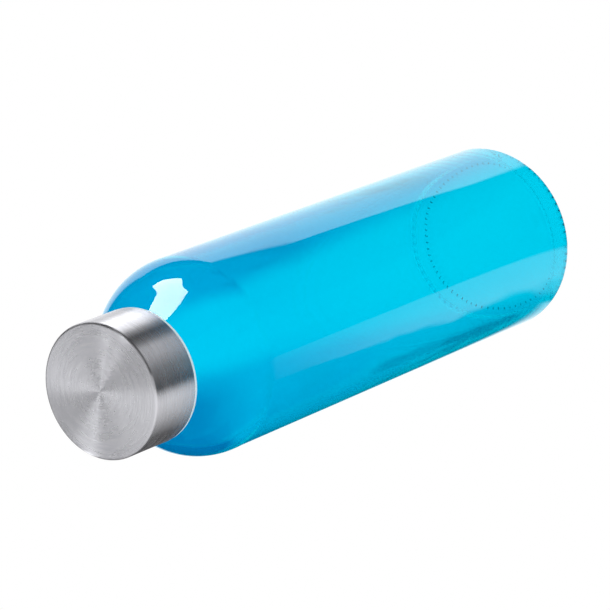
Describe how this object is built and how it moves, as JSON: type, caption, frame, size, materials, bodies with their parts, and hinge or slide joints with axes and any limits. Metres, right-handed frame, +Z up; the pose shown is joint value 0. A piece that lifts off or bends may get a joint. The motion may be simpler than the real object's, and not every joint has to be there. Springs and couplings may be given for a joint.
{
  "type": "glass water bottle",
  "caption": "Tinted glass water bottle with a rounded shoulder and a brushed steel screw cap that unscrews and lifts clear of its threaded neck.",
  "frame": {"origin": "centre of the base, in the plane that the bottle rests on", "axes": "+Z up the bottle's axis towards the cap; the bottle is round, so X and Y are alike"},
  "size_m": [0.065, 0.065, 0.224],
  "materials": {
    "tinted_glass": "clear glass with a translucent cyan coat on the outside, glossy",
    "cap_steel": "spun circular brushing on the top, brushed round the side",
    "cap_plastic": "translucent white polypropylene, satin",
    "seal_silicone": "translucent silicone, matt"
  },
  "bodies": {
    "bottle": {"glass_bottle": "tinted_glass"},
    "seal": {"seal_ring": "seal_silicone"},
    "cap": {"cap_shell": "cap_steel", "cap_insert": "cap_plastic"}
  },
  "joints": [
    {"name": "cap_lift", "type": "slide", "parent": "bottle", "child": "seal", "axis": [0, 0, 1], "range_m": [0, 0.02]},
    {"name": "cap_turn", "type": "hinge", "parent": "seal", "child": "cap", "pos_m": [0, 0, 0.21], "axis": [0, 0, 1], "range_deg": [0, 1800]}
  ],
  "couplings": [
    {"joint": "cap_lift", "follows": "cap_turn", "m_per_rad": 0.00063662}
  ]
}
